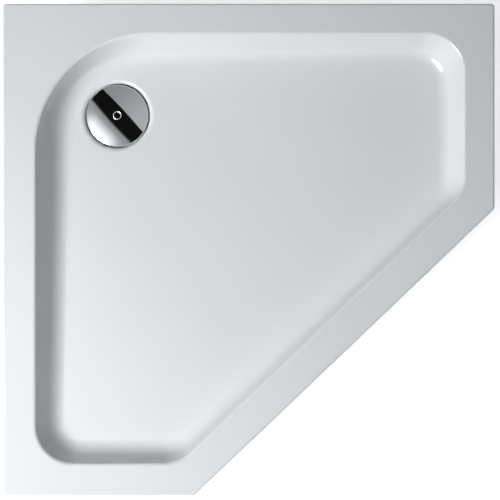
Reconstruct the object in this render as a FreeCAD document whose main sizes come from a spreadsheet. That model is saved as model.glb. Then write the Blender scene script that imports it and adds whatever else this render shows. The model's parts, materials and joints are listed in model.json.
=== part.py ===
import FreeCAD, Part
import Sketcher
import math
import os

os.makedirs("parts", exist_ok=True)
doc = FreeCAD.newDocument("corner_shower_tray")

# Driving sizes in millimetres, degrees and percent

DRIVING_SIZES = [
    ("tray_width", 900, "outer size along the back wall"),
    ("tray_length", 900, "outer size along the left wall"),
    ("right_side", 375, "short side from the back wall to the cut"),
    ("front_side", 350, "short side from the left wall to the cut"),
    ("rim_height", 190, "top of the rim above the room floor"),
    ("left_rim", 59.5, "flat rim on the left"),
    ("back_rim", 55, "flat rim at the back"),
    ("right_rim", 55, "flat rim on the right"),
    ("cut_rim", 61, "flat rim along the cut"),
    ("front_rim", 58.5, "flat rim at the front"),
    ("skirt_depth", 35, "outer skirt below the rim top"),
    ("shell_thickness", 5, "acrylic sheet with its glass backing"),
    ("outer_corner_radius", 7, "upright outer corners"),
    ("rim_edge_radius", 4, "outer top edge of the rim"),
    ("basin_edge_radius", 5, "inner top edge of the rim"),
    ("basin_depth", 55, "rim top to floor at the waste"),
    ("left_lean", 33, "basin wall on the left, from upright"),
    ("back_lean", 32, "basin wall at the back, from upright"),
    ("right_lean", 35, "basin wall on the right, from upright"),
    ("cut_lean", 21, "basin wall along the cut, from upright"),
    ("front_lean", 26, "basin wall at the front, from upright"),
    ("floor_fall", 3, "fall of the floor to the waste in percent"),
    ("floor_fillet", 30, "round between walls and floor"),
    ("back_corner_mouth", 71, "back right basin corner at the rim"),
    ("back_corner_foot", 60, "back right basin corner at floor level"),
    ("front_corner_mouth", 71, "front left basin corner at the rim"),
    ("front_corner_foot", 32, "front left basin corner at floor level"),
    ("cut_corner_mouth", 74, "basin corners at both ends of the cut, at the rim"),
    ("cut_corner_foot", 62, "basin corners at both ends of the cut, at floor level"),
    ("waste_corner_mouth", 214, "basin corner by the waste, at the rim"),
    ("waste_corner_foot", 148, "basin corner by the waste, at floor level"),
    ("waste_inset", 205, "waste centre from the left wall"),
    ("waste_back_inset", 199.5, "waste centre from the back wall"),
    ("waste_hole_diameter", 90, "hole in the tray for the waste"),
    ("recess_diameter", 117.8, "round recess that holds the waste cover"),
    ("recess_depth", 12, "recess below the floor"),
    ("recess_edge_radius", 9.5, "soft edge of the recess"),
    ("board_thickness", 16, "base board under the floor"),
    ("board_margin", 4, "board edge inside the flat of the floor"),
    ("board_waste_gap", 77, "board edge to the waste centre"),
    ("front_rail_distance", 170, "front rail from the cut"),
    ("rear_rail_gap", 125, "rear rail from the waste centre"),
    ("rail_crown_width", 44, "hat rail across its crown"),
    ("rail_flange_width", 18, "hat rail flange"),
    ("rail_depth", 40, "hat rail from flange to crown"),
    ("rail_sheet", 2, "hat rail sheet"),
    ("rail_end", 45, "rail beyond its last foot"),
    ("foam_thickness", 3, "foam strip between rail and board"),
    ("front_foot_spacing", 330, "outer front feet from the middle one"),
    ("rear_foot_spacing", 200, "rear feet from the rail centre"),
    ("rod_diameter", 10, "threaded rod of a foot"),
    ("rod_spare", 15, "rod above its lock nut"),
    ("rod_chamfer", 1, "chamfer at both ends of a rod"),
    ("foot_pad_diameter", 48, "foot pad on the room floor"),
    ("foot_pad_height", 22, "foot pad with its socket"),
    ("foot_pad_sole", 8, "pad below the end of the rod"),
    ("nut_width", 17, "hexagon across flats"),
    ("nut_height", 8, "hexagon nut"),
    ("nut_corner_angle", 30, "turned corners of a hexagon nut"),
    ("washer_diameter", 21, "washer under the rail"),
    ("washer_thickness", 2, "washer under the rail"),
    ("rail_screw_diameter", 4.4, "wood screw shank"),
    ("rail_screw_bite", 12, "wood screw in the board"),
    ("rail_screw_inset", 20, "wood screw from the end of the rail"),
    ("rail_screw_head", 9, "wood screw head diameter"),
    ("rail_screw_head_height", 3, "wood screw head"),
    ("running_gap", 0.05, "radial gap of threads and sliding fits"),
    ("hole_gap", 0.5, "radial gap of clearance holes"),
    ("upper_gasket", 2, "gasket under the waste flange"),
    ("lower_gasket", 3, "gasket between tray and trap"),
    ("flange_diameter", 110, "waste flange lip"),
    ("flange_sheet", 2, "waste flange sheet"),
    ("flange_dish_diameter", 87, "outside of the flange dish"),
    ("flange_screw_circle", 73, "circle of the flange screws"),
    ("flange_screw_diameter", 5, "flange screw shank"),
    ("flange_screw_length", 14, "flange screw below its head"),
    ("flange_screw_head", 9, "flange screw head diameter"),
    ("flange_screw_head_height", 3, "flange screw head"),
    ("trap_height", 96, "trap below its top face"),
    ("trap_diameter", 96, "outside of the trap cup"),
    ("trap_wall", 3, "wall of the trap cup"),
    ("trap_flange_diameter", 114, "clamping flange of the trap"),
    ("trap_flange_thickness", 6, "clamping flange of the trap"),
    ("ledge_drop", 4, "inner ledge below the trap top"),
    ("ledge_thickness", 6, "inner ledge"),
    ("boss_diameter", 11, "screw boss under the ledge"),
    ("boss_drop", 10, "screw boss below the ledge"),
    ("tube_diameter", 52, "dip tube outside"),
    ("tube_wall", 2.5, "dip tube wall"),
    ("tube_flange_diameter", 62, "dip tube collar"),
    ("tube_flange_thickness", 3, "dip tube collar"),
    ("tube_bottom_gap", 9, "dip tube end above the cup bottom"),
    ("tube_bar_width", 5, "crossing finger bars in the dip tube"),
    ("seal_gap", 2, "radial room for the dip tube seal"),
    ("water_seal", 50, "standing water above the dip tube end"),
    ("weir_width", 32, "window over the weir into the outlet"),
    ("outlet_bore", 45, "bore of the outlet"),
    ("outlet_pipe_diameter", 50, "outlet pipe outside"),
    ("outlet_pipe_wall", 2, "outlet pipe wall"),
    ("outlet_spigot_diameter", 60, "threaded outlet of the trap"),
    ("outlet_spigot_reach", 78, "end of the outlet from the waste axis"),
    ("outlet_socket_depth", 18, "pipe socket in the outlet"),
    ("outlet_seal_length", 6, "sealing ring in the slip nut"),
    ("outlet_nut_diameter", 72, "slip nut outside"),
    ("outlet_nut_grip", 14, "slip nut thread on the outlet"),
    ("outlet_nut_face", 4, "slip nut end wall"),
    ("grip_rib_width", 4, "grip rib of the slip nut"),
    ("grip_rib_height", 2, "grip rib of the slip nut"),
    ("outlet_bead_width", 4, "stop bead on the pipe"),
    ("outlet_bead_height", 3, "stop bead on the pipe"),
    ("outlet_bead_gap", 30, "slip nut to stop bead"),
    ("outlet_free_length", 60, "pipe end beyond the stop bead"),
    ("cover_diameter", 115, "domed waste cover"),
    ("cover_sheet", 2, "cover thickness"),
    ("cover_edge_radius", 0.9, "top edge of the cover"),
    ("cover_rise", 5, "dome of the cover"),
    ("cover_lift", 7, "cover edge above the flange lip"),
    ("cover_rib_width", 3, "locating ribs under the cover"),
    ("eyelet_bore", 11.6, "lifting hole in the cover"),
    ("eyelet_tube", 13.6, "eyelet in the cover"),
    ("eyelet_lip", 15.8, "eyelet lip on the cover"),
    ("eyelet_lip_height", 1.2, "eyelet lip on the cover"),
    ("eyelet_edge_radius", 0.4, "outer edge of the eyelet lip"),
    ("eyelet_mouth_radius", 1.6, "rolled mouth of the eyelet"),
    ("eyelet_length", 6, "eyelet below the top of the dome"),
]

# Counts of pieces and features that repeat round an axis

FLANGE_SCREWS = 3
GRIP_RIBS = 8
COVER_RIBS = 3

# Cuts run this far past the faces they open; points nearer than the tolerance are the same

PAST = 1
TOLERANCE = 1e-4


def write_sheet():
    sheet = doc.addObject("Spreadsheet::Sheet", "Sizes")
    for row, (alias, value, note) in enumerate(DRIVING_SIZES, start=1):
        sheet.set("A%d" % row, note)
        sheet.set("B%d" % row, str(value))
        sheet.setAlias("B%d" % row, alias)
    doc.recompute()
    return sheet


class Size:
    """A number together with the sheet formula that it comes from."""

    def __init__(self, value, formula):
        self.value = float(value)
        self.formula = formula

    def __add__(self, other):
        other = as_size(other)
        return Size(self.value + other.value, "(%s + %s)" % (self.formula, other.formula))

    def __sub__(self, other):
        other = as_size(other)
        return Size(self.value - other.value, "(%s - %s)" % (self.formula, other.formula))

    def __mul__(self, other):
        other = as_size(other)
        return Size(self.value * other.value, "(%s * %s)" % (self.formula, other.formula))

    def __truediv__(self, other):
        other = as_size(other)
        return Size(self.value / other.value, "(%s / %s)" % (self.formula, other.formula))

    def __neg__(self):
        return Size(-self.value, "-(%s)" % self.formula)

    def __rsub__(self, other):
        return as_size(other) - self

    __radd__ = __add__
    __rmul__ = __mul__


def as_size(number):
    return number if isinstance(number, Size) else Size(number, repr(number))


def square_root(size):
    return Size(math.sqrt(size.value), "sqrt(%s)" % size.formula)


def tangent(angle):
    return Size(math.tan(math.radians(angle.value)), "tan(%s)" % angle.formula)


def cosine(angle):
    return Size(math.cos(math.radians(angle.value)), "cos(%s)" % angle.formula)


def arc_tangent(ratio):
    return Size(math.degrees(math.atan(ratio.value)), "atan(%s)" % ratio.formula)


sheet = write_sheet()


def size(alias):
    return Size(sheet.get(alias), "Sizes." + alias)


def bind(thing, path, amount):
    thing.setExpression(path, as_size(amount).formula)


# Sketch and feature helpers

def start_body(label, x=0, y=0, z=0):
    body = doc.addObject("PartDesign::Body", label)
    body.Label = label
    for axis, amount in zip("xyz", (x, y, z)):
        bind(body, "Placement.Base." + axis, amount)
    return body


def turn_body(body, axis, angle):
    """Turn the body about one of its own axes through its placed origin."""
    body.Placement = FreeCAD.Placement(FreeCAD.Vector(), FreeCAD.Rotation(axis, 1))
    bind(body, "Placement.Rotation.Angle", angle)


def start_sketch(body, name, plane, height=0, tilt=None):
    """Empty sketch on an origin plane, raised along its normal and tilted about its first axis."""
    sketch = body.newObject("Sketcher::SketchObject", name)
    support = [part for part in body.Origin.OriginFeatures if part.Role == plane][0]
    sketch.AttachmentSupport = (support, [""])
    sketch.MapMode = "FlatFace"
    if tilt is not None:
        first_axis = FreeCAD.Vector(1, 0, 0)
        sketch.AttachmentOffset = FreeCAD.Placement(FreeCAD.Vector(), FreeCAD.Rotation(first_axis, 1))
        bind(sketch, "AttachmentOffset.Rotation.Angle", tilt)
    bind(sketch, "AttachmentOffset.Base.z", height)
    return sketch


def hold(sketch, kind, axis, curve, point, amount):
    """Fix one coordinate of a sketch point to a sheet formula."""
    amount = as_size(amount)
    if abs(amount.value) < TOLERANCE:
        sketch.addConstraint(Sketcher.Constraint("PointOnObject", curve, point, axis))
        return
    index = sketch.addConstraint(Sketcher.Constraint(kind, -1, 1, curve, point, amount.value))
    bind(sketch, "Constraints[%d]" % index, amount)


def hold_point(sketch, curve, point, x, y):
    hold(sketch, "DistanceX", -2, curve, point, x)
    hold(sketch, "DistanceY", -1, curve, point, y)


def arc_between(start, end, radius):
    """Arc from start to end, counter-clockwise for a positive radius."""
    chord = end - start
    half = chord.Length / 2
    side = FreeCAD.Vector(-chord.y, chord.x, 0).normalize()
    reach = math.sqrt(radius * radius - half * half) * math.copysign(1, radius)
    centre = start + chord / 2 + side * reach
    first, last = (start, end) if radius > 0 else (end, start)
    angles = [math.atan2(spot.y - centre.y, spot.x - centre.x) for spot in (first, last)]
    circle = Part.Circle(centre, FreeCAD.Vector(0, 0, 1), abs(radius))
    return Part.ArcOfCircle(circle, angles[0], angles[1])


def draw_outline(sketch, corners, arcs=None):
    """Closed outline through the corners; arcs maps an edge number to its signed radius."""
    arcs = arcs or {}
    spots = [FreeCAD.Vector(as_size(x).value, as_size(y).value, 0) for x, y in corners]
    first = len(sketch.Geometry)
    ends = []
    for edge, start in enumerate(spots):
        end = spots[(edge + 1) % len(spots)]
        if edge in arcs:
            index = sketch.addGeometry(arc_between(start, end, arcs[edge].value), False)
            radius = sketch.addConstraint(Sketcher.Constraint("Radius", index, abs(arcs[edge].value)))
            bind(sketch, "Constraints[%d]" % radius, arcs[edge] if arcs[edge].value > 0 else -arcs[edge])
            ends.append((1, 2) if arcs[edge].value > 0 else (2, 1))
        else:
            sketch.addGeometry(Part.LineSegment(start, end), False)
            ends.append((1, 2))
    for edge in range(len(spots)):
        following = (edge + 1) % len(spots)
        sketch.addConstraint(Sketcher.Constraint(
            "Coincident", first + edge, ends[edge][1], first + following, ends[following][0]))
    for edge, (x, y) in enumerate(corners):
        hold_point(sketch, first + edge, ends[edge][0], x, y)
    return sketch


def draw_circle(sketch, x, y, diameter):
    diameter = as_size(diameter)
    centre = FreeCAD.Vector(as_size(x).value, as_size(y).value, 0)
    circle = Part.Circle(centre, FreeCAD.Vector(0, 0, 1), diameter.value / 2)
    index = sketch.addGeometry(circle, False)
    width = sketch.addConstraint(Sketcher.Constraint("Diameter", index, diameter.value))
    bind(sketch, "Constraints[%d]" % width, diameter)
    hold_point(sketch, index, 3, x, y)
    return sketch


def add_feature(body, kind, name, profile, **amounts):
    feature = body.newObject("PartDesign::" + kind, name)
    feature.Profile = profile
    for path, amount in amounts.items():
        bind(feature, path, amount)
    profile.Visibility = False
    return feature


def pad_down(body, name, profile, length):
    pad = add_feature(body, "Pad", name, profile, Length=length)
    pad.Reversed = True
    doc.recompute()
    return pad


def pad_centred(body, name, profile, length):
    pad = add_feature(body, "Pad", name, profile, Length=length)
    pad.Midplane = True
    doc.recompute()
    return pad


def pocket(body, name, profile, length, upward=False):
    """Cut down from the sketch, or up from it."""
    before = body.Tip.Shape.Volume
    cut = add_feature(body, "Pocket", name, profile, Length=length)
    cut.Reversed = upward
    doc.recompute()
    if cut.Shape.Volume > before - TOLERANCE:
        raise RuntimeError(name + " cuts nothing")
    return cut


def turn_profile(body, kind, name, corners, arcs=None):
    """Revolution or Groove of a radius and height outline about the upright axis."""
    sketch = start_sketch(body, name + "_profile", "XZ_Plane")
    draw_outline(sketch, corners, arcs)
    turned = add_feature(body, kind, name, sketch)
    turned.ReferenceAxis = (sketch, ["V_Axis"])
    turned.Angle = 360
    doc.recompute()
    return turned


def turned_body(label, corners, x=0, y=0, z=0):
    body = start_body(label, x, y, z)
    turn_profile(body, "Revolution", label + "_turned", corners)
    return body


def repeat_round(body, name, originals, count):
    """Copies of the last features spaced evenly about the upright axis."""
    pattern = body.newObject("PartDesign::PolarPattern", name)
    pattern.Originals = originals
    axis = [part for part in body.Origin.OriginFeatures if part.Role == "Z_Axis"][0]
    pattern.Axis = (axis, [""])
    pattern.Angle = 360
    pattern.Occurrences = count
    body.Tip = pattern
    doc.recompute()
    return pattern


def edges_where(shape, test):
    return ["Edge%d" % (n + 1) for n, edge in enumerate(shape.Edges) if test(edge)]


def round_edges(body, name, edges, radius):
    base = body.Tip
    fillet = body.newObject("PartDesign::Fillet", name)
    fillet.Base = (base, edges)
    bind(fillet, "Radius", radius)
    body.Tip = fillet
    doc.recompute()
    return fillet


def is_upright(edge):
    if len(edge.Vertexes) != 2:
        return False
    start, end = (vertex.Point for vertex in edge.Vertexes)
    return math.hypot(start.x - end.x, start.y - end.y) < TOLERANCE


def lies_at(edge, height):
    box = edge.BoundBox
    return abs(box.ZMin - height.value) < TOLERANCE and abs(box.ZMax - height.value) < TOLERANCE


# Plan of the tray: the two walls meet at the back left, the cut runs from right to front

half_width = size("tray_width") / 2
half_length = size("tray_length") / 2
cut_run = size("tray_width") - size("front_side")
cut_climb = size("tray_length") - size("right_side")
cut_length = square_root(cut_run * cut_run + cut_climb * cut_climb)
cut_cosine = cut_run / cut_length
cut_sine = cut_climb / cut_length
cut_angle = arc_tangent(cut_climb / cut_run)
cut_middle_x = size("front_side") / 2
cut_middle_y = -(size("right_side") / 2)


def along_cut(x, y):
    """Plan point as a distance along the cut from its middle and a distance in from it."""
    east = x - cut_middle_x
    north = y - cut_middle_y
    return east * cut_cosine + north * cut_sine, north * cut_cosine - east * cut_sine


def plan_point(along, inward):
    x = cut_middle_x + along * cut_cosine - inward * cut_sine
    y = cut_middle_y + along * cut_sine + inward * cut_cosine
    return x, y


SIDES = ("left", "back", "right", "cut", "front")


def even(inset):
    """The same inset for every side of the plan."""
    return [inset] * len(SIDES)


def plan_corners(insets):
    """Outline corners with each side moved inwards: back left, back right, right, front, front left."""
    left_inset, back_inset, right_inset, cut_inset, front_inset = insets
    left = left_inset - half_width
    right = half_width - right_inset
    back = half_length - back_inset
    front = front_inset - half_length
    right_y = cut_middle_y + (cut_inset + cut_sine * (right - cut_middle_x)) / cut_cosine
    front_x = cut_middle_x + (cut_cosine * (front - cut_middle_y) - cut_inset) / cut_sine
    return [(left, back), (right, back), (right, right_y), (front_x, front), (left, front)]


# Heights

waste_x = size("waste_inset") - half_width
waste_y = half_length - size("waste_back_inset")
waste_along, waste_inward = along_cut(waste_x, waste_y)
rim_top = size("rim_height")
shell = size("shell_thickness")
fall = size("floor_fall") / 100
floor_tilt = -arc_tangent(fall)
waste_floor = rim_top - size("basin_depth")
recess_floor = waste_floor - size("recess_depth")
trap_top = recess_floor - shell - size("lower_gasket")
ledge_top = trap_top - size("ledge_drop")
lip_top = recess_floor + size("upper_gasket") + size("flange_sheet")


def floor_height(inward):
    return waste_floor + fall * (waste_inward - inward)


# Tray shell: rim and skirt, with the basin wall and floor around the basin hollow

rims = [size(side + "_rim") for side in SIDES]
leans = [size(side + "_lean") for side in SIDES]


def basin_insets(depth, grow):
    """How far in each basin wall stands at a depth below the rim, its outside if grown by the sheet."""
    return [rim + depth * tangent(lean) - grow / cosine(lean) for rim, lean in zip(rims, leans)]


def corner_turns():
    """How far each plan corner's round reaches along its sides, as a share of its radius."""
    at_right = (1 - cut_sine) / cut_cosine
    at_front = (1 - cut_cosine) / cut_sine
    return [as_size(1), as_size(1), at_right, at_front, as_size(1)]


def side_directions():
    """Directions of the plan sides that leave each corner, going clockwise."""
    return [(1, 0), (0, -1), (-cut_cosine, -cut_sine), (-1, 0), (0, 1)]


def rounded_plan(insets, radii):
    """Ends of the rounds and the arcs of the tray outline moved inwards, in the frame of the cut."""
    corners = plan_corners(insets)
    leaving = side_directions()
    spots = []
    arcs = {}
    for number, ((x, y), turn, radius) in enumerate(zip(corners, corner_turns(), radii)):
        reach = turn * radius
        into = leaving[number - 1]
        out = leaving[number]
        spots.append(along_cut(x - reach * into[0], y - reach * into[1]))
        spots.append(along_cut(x + reach * out[0], y + reach * out[1]))
        arcs[2 * number] = -radius
    return spots, arcs


def corner_radii(depth, grow):
    """Basin corner radii at a depth below the rim: waste, back right, both cut ends, front left."""
    radii = []
    for corner in ("waste", "back", "cut", "cut", "front"):
        mouth = size(corner + "_corner_mouth")
        foot = size(corner + "_corner_foot")
        radii.append(mouth + (foot - mouth) * depth / size("basin_depth") + grow)
    return radii


def basin_form(label, grow):
    """Solid form of the basin hollow, grown by the shell thickness for the outside."""
    mouth_insets = basin_insets(as_size(0), grow)
    back_left = along_cut(*plan_corners(mouth_insets)[0])
    lowest = size("basin_depth") + fall * (back_left[1] - waste_inward) + grow + PAST
    corner_grow = grow / cosine(size("back_lean"))
    body = start_body(label, cut_middle_x, cut_middle_y, rim_top)
    turn_body(body, FreeCAD.Vector(0, 0, 1), cut_angle)
    mouth = start_sketch(body, label + "_mouth", "XY_Plane")
    draw_outline(mouth, *rounded_plan(mouth_insets, corner_radii(as_size(0), corner_grow)))
    foot = start_sketch(body, label + "_foot", "XY_Plane", -lowest)
    draw_outline(foot, *rounded_plan(basin_insets(lowest, grow), corner_radii(lowest, corner_grow)))
    walls = add_feature(body, "AdditiveLoft", label + "_walls", mouth)
    walls.Sections = [foot]
    walls.Ruled = True
    foot.Visibility = False
    doc.recompute()
    trim = start_sketch(body, label + "_floor", "XY_Plane", floor_height(0) - rim_top - grow, floor_tilt)
    reach = size("tray_width") + size("tray_length")
    draw_outline(trim, [(-reach, -reach), (reach, -reach), (reach, reach), (-reach, reach)])
    pocket(body, label + "_floor_cut", trim, size("rim_height"))
    floor_face = min(body.Tip.Shape.Faces, key=lambda face: face.CenterOfMass.z)
    floor_edges = edges_where(body.Tip.Shape, lambda edge: any(edge.isSame(own) for own in floor_face.Edges))
    round_edges(body, label + "_floor_round", floor_edges, size("floor_fillet") + grow)
    return body


def round_well(body, name, diameter, top, bottom):
    """Round well at the waste, joined to a basin form; heights are above the room floor."""
    sketch = start_sketch(body, name + "_circle", "XY_Plane", top - rim_top)
    draw_circle(sketch, waste_along, waste_inward, diameter)
    return pad_down(body, name, sketch, top - bottom)


def basin_outside():
    body = basin_form("basin_outside", shell)
    round_well(body, "recess_outside", size("recess_diameter") + shell * 2, waste_floor, recess_floor - shell)
    return body


def basin_hollow():
    body = basin_form("basin_hollow", as_size(0))
    well_start = waste_floor + size("recess_depth")
    round_well(body, "recess", size("recess_diameter"), well_start, recess_floor)
    diameter = size("recess_diameter").value
    middle = (waste_floor + recess_floor).value / 2 - rim_top.value

    def rings_the_recess(edge):
        box = edge.BoundBox
        around = abs(box.XLength - diameter) < PAST and abs(box.YLength - diameter) < PAST
        return around and edge.CenterOfMass.z > middle

    recess_edge = edges_where(body.Tip.Shape, rings_the_recess)
    round_edges(body, "recess_edge", recess_edge, size("recess_edge_radius"))
    round_well(body, "waste_hole", size("waste_hole_diameter"), well_start, recess_floor - shell * 2)
    return body


def tray_shell():
    body = start_body("tray_shell")
    outline = start_sketch(body, "rim_outline", "XY_Plane", rim_top)
    draw_outline(outline, plan_corners(even(as_size(0))))
    pad_down(body, "rim_block", outline, size("skirt_depth"))
    round_edges(body, "outer_corners", edges_where(body.Tip.Shape, is_upright), size("outer_corner_radius"))
    top_edges = edges_where(body.Tip.Shape, lambda edge: lies_at(edge, rim_top))
    round_edges(body, "outer_edge", top_edges, size("rim_edge_radius"))
    inside = start_sketch(body, "skirt_inside", "XY_Plane", rim_top - size("skirt_depth"))
    draw_outline(inside, plan_corners(even(shell)))
    pocket(body, "skirt_hollow", inside, size("skirt_depth") - shell, upward=True)
    join_body(body, "basin_added", "Fuse", basin_outside())
    join_body(body, "basin_opened", "Cut", basin_hollow())
    margin = min(rim.value for rim in rims) / 2

    def rings_the_basin(edge):
        spot = edge.CenterOfMass
        inside_sides = abs(spot.x) < half_width.value - margin and abs(spot.y) < half_length.value - margin
        inside_cut = along_cut(as_size(spot.x), as_size(spot.y))[1].value > margin
        return lies_at(edge, rim_top) and inside_sides and inside_cut

    round_edges(body, "inner_edge", edges_where(body.Tip.Shape, rings_the_basin), size("basin_edge_radius"))
    return body


def join_body(body, name, kind, other):
    joined = body.newObject("PartDesign::Boolean", name)
    joined.setObjects([other])
    joined.Type = kind
    body.Tip = joined
    doc.recompute()
    return joined


# Base board and rails under the floor

board_drop = size("board_thickness") / cosine(floor_tilt)
crown_half = size("rail_crown_width") / 2
flange_tip = crown_half + size("rail_flange_width")
flange_middle = crown_half + size("rail_flange_width") / 2
front_rail_inward = size("front_rail_distance")
rear_rail_inward = waste_inward - size("rear_rail_gap")


def rail_height(inward):
    """Top of a rail, one foam strip below the board."""
    return floor_height(inward) - shell - board_drop - size("foam_thickness")


def cut_body(label, inward, height):
    """Body whose first axis runs along the cut, at a distance in from it."""
    x, y = plan_point(as_size(0), as_size(inward))
    body = start_body(label, x, y, height)
    turn_body(body, FreeCAD.Vector(0, 0, 1), cut_angle)
    return body


def screw_spots(foot_spacing):
    """Screw positions along a rail and across its flanges."""
    end = foot_spacing + size("rail_end") - size("rail_screw_inset")
    stations = (-end, as_size(0), end)
    return [(along, across) for along in stations for across in (-flange_middle, flange_middle)]


RAILS = [
    ("front", front_rail_inward, size("front_foot_spacing")),
    ("rear", rear_rail_inward, size("rear_foot_spacing")),
]


def board_corners():
    """Board outline in the frame of the cut: inside the flat of the floor and short of the waste."""
    flat_gap = size("floor_fillet") + size("board_margin")
    insets = [inset + flat_gap for inset in basin_insets(size("basin_depth"), as_size(0))]
    back_left, back_right, right, front, front_left = plan_corners(insets)
    rear = waste_inward - size("board_waste_gap")
    rear_left = (back_left[0] - cut_middle_x + rear * cut_sine) / cut_cosine
    rear_right = (back_left[1] - cut_middle_y - rear * cut_cosine) / cut_sine
    sides = [along_cut(x, y) for x, y in (front_left, front, right, back_right)]
    return sides + [(rear_right, rear), (rear_left, rear)]


def base_board():
    body = cut_body("base_board", 0, 0)
    outline = start_sketch(body, "board_outline", "XY_Plane", floor_height(0) - shell, floor_tilt)
    draw_outline(outline, board_corners())
    pad_down(body, "board_sheet", outline, size("board_thickness"))
    for name, inward, spacing in RAILS:
        holes = start_sketch(body, name + "_pilot_holes", "XY_Plane", rail_height(inward))
        for along, across in screw_spots(spacing):
            draw_circle(holes, along, inward + across, size("rail_screw_diameter") + size("running_gap") * 2)
        depth = size("foam_thickness") + size("rail_screw_bite") + size("hole_gap")
        pocket(body, name + "_pilots", holes, depth, upward=True)
    return body


def rail(name, inward, spacing, feet):
    """Hat-section rail, open towards the board, with rod holes in its crown."""
    body = cut_body("rail_" + name, inward, rail_height(inward))
    sheet_edge = -size("rail_sheet")
    crown_low = -size("rail_depth")
    crown_high = crown_low + size("rail_sheet")
    inner_half = crown_half - size("rail_sheet")
    profile = start_sketch(body, name + "_hat", "YZ_Plane")
    draw_outline(profile, [
        (-flange_tip, 0), (-flange_tip, sheet_edge), (-crown_half, sheet_edge), (-crown_half, crown_low),
        (crown_half, crown_low), (crown_half, sheet_edge), (flange_tip, sheet_edge), (flange_tip, 0),
        (inner_half, 0), (inner_half, crown_high), (-inner_half, crown_high), (-inner_half, 0),
    ])
    pad_centred(body, name + "_section", profile, (spacing + size("rail_end")) * 2)
    rods = start_sketch(body, name + "_rod_circles", "XY_Plane", crown_low - PAST)
    for along in feet:
        draw_circle(rods, along, 0, size("rod_diameter") + size("hole_gap") * 2)
    pocket(body, name + "_rod_holes", rods, size("rail_sheet") + PAST * 2, upward=True)
    cut_screw_holes(body, name, screw_spots(spacing), sheet_edge - PAST, size("rail_sheet") + PAST * 2)
    return body


def cut_screw_holes(body, name, spots, start, length):
    screws = start_sketch(body, name + "_screw_circles", "XY_Plane", start)
    for along, across in spots:
        draw_circle(screws, along, across, size("rail_screw_diameter") + size("hole_gap") * 2)
    pocket(body, name + "_screw_holes", screws, length, upward=True)


def foam_strip(name, number, inward, spacing):
    """Soft strip on one flange; its top follows the fall of the board."""
    body = cut_body("foam_strip_%s_%d" % (name, number), inward, rail_height(inward))
    side = -1 if number == 1 else 1
    near = crown_half * side
    far = flange_tip * side
    profile = start_sketch(body, "%s_strip_%d" % (name, number), "YZ_Plane")
    thickness = size("foam_thickness")
    near_top = thickness - fall * near
    far_top = thickness - fall * far
    draw_outline(profile, [(near, 0), (far, 0), (far, far_top), (near, near_top)])
    pad_centred(body, "%s_strip_%d_length" % (name, number), profile, (spacing + size("rail_end")) * 2)
    spots = [spot for spot in screw_spots(spacing) if spot[1].value * side > 0]
    cut_screw_holes(body, "%s_strip_%d" % (name, number), spots, as_size(-PAST), thickness * 2 + PAST)
    return body


# Loose hardware made of plain cylinders

def upright_cylinder(name, diameter, height, x, y, z):
    cylinder = doc.addObject("Part::Cylinder", name)
    bind(cylinder, "Radius", as_size(diameter) / 2)
    bind(cylinder, "Height", height)
    for axis, amount in zip("xyz", (x, y, z)):
        bind(cylinder, "Placement.Base." + axis, amount)
    return cylinder


def ring(name, outer, inner, height, x, y, z):
    cut = doc.addObject("Part::Cut", name)
    cut.Base = upright_cylinder(name + "_outer", outer, height, x, y, z)
    cut.Tool = upright_cylinder(name + "_inner", inner, height, x, y, z)
    return cut


def screw(name, head, head_height, shank, length, x, y, under_head, upward):
    """Pan-head screw standing upright, pointing up or down from the face under its head."""
    head_base = under_head - head_height if upward else under_head
    shank_base = under_head if upward else under_head - length
    joined = doc.addObject("Part::Fuse", name)
    joined.Base = upright_cylinder(name + "_head", head, head_height, x, y, head_base)
    joined.Tool = upright_cylinder(name + "_shank", shank, length, x, y, shank_base)
    return joined


def group(label, members):
    together = doc.addObject("Part::Compound", label)
    together.Label = label
    together.Links = members
    return together


def rail_screws():
    screws = []
    for name, inward, spacing in RAILS:
        under_head = rail_height(inward) - size("rail_sheet")
        length = size("rail_sheet") + size("foam_thickness") + size("rail_screw_bite")
        for number, (along, across) in enumerate(screw_spots(spacing), start=1):
            x, y = plan_point(along, inward + across)
            screws.append(screw("%s_rail_screw_%d" % (name, number), size("rail_screw_head"),
                                size("rail_screw_head_height"), size("rail_screw_diameter"),
                                length, x, y, under_head, True))
    return group("rail_screws", screws)


# Adjustable feet

FRONT_FEET = [-size("front_foot_spacing"), as_size(0), size("front_foot_spacing")]
REAR_FEET = [-size("rear_foot_spacing"), size("rear_foot_spacing")]
FEET = [(along, front_rail_inward) for along in FRONT_FEET]
FEET += [(along, rear_rail_inward) for along in REAR_FEET]


def crown_bottom(inward):
    return rail_height(inward) - size("rail_depth")


def crown_top(inward):
    return crown_bottom(inward) + size("rail_sheet")


def foot_washers():
    rings = []
    for number, (along, inward) in enumerate(FEET, start=1):
        x, y = plan_point(along, inward)
        rings.append(ring("washer_%d" % number, size("washer_diameter"),
                          size("rod_diameter") + size("hole_gap") * 2, size("washer_thickness"),
                          x, y, crown_bottom(inward) - size("washer_thickness")))
    return group("foot_washers", rings)


def foot_rod(number, along, inward):
    x, y = plan_point(along, inward)
    radius = size("rod_diameter") / 2
    chamfer = size("rod_chamfer")
    tip = radius - chamfer
    low = size("foot_pad_sole")
    high = crown_top(inward) + size("nut_height") + size("rod_spare")
    return turned_body("foot_rod_%d" % number, [
        (0, low), (tip, low), (radius, low + chamfer), (radius, high - chamfer), (tip, high), (0, high),
    ], x, y)


def foot_pad(number, along, inward):
    x, y = plan_point(along, inward)
    edge = size("foot_pad_diameter") / 2
    bore = size("rod_diameter") / 2 + size("running_gap")
    neck = size("rod_diameter")
    high = size("foot_pad_height")
    return turned_body("foot_pad_%d" % number, [
        (0, 0), (edge, 0), (edge, high / 4), (neck, high / 2), (neck, high), (bore, high),
        (bore, size("foot_pad_sole")), (0, size("foot_pad_sole")),
    ], x, y)


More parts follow.
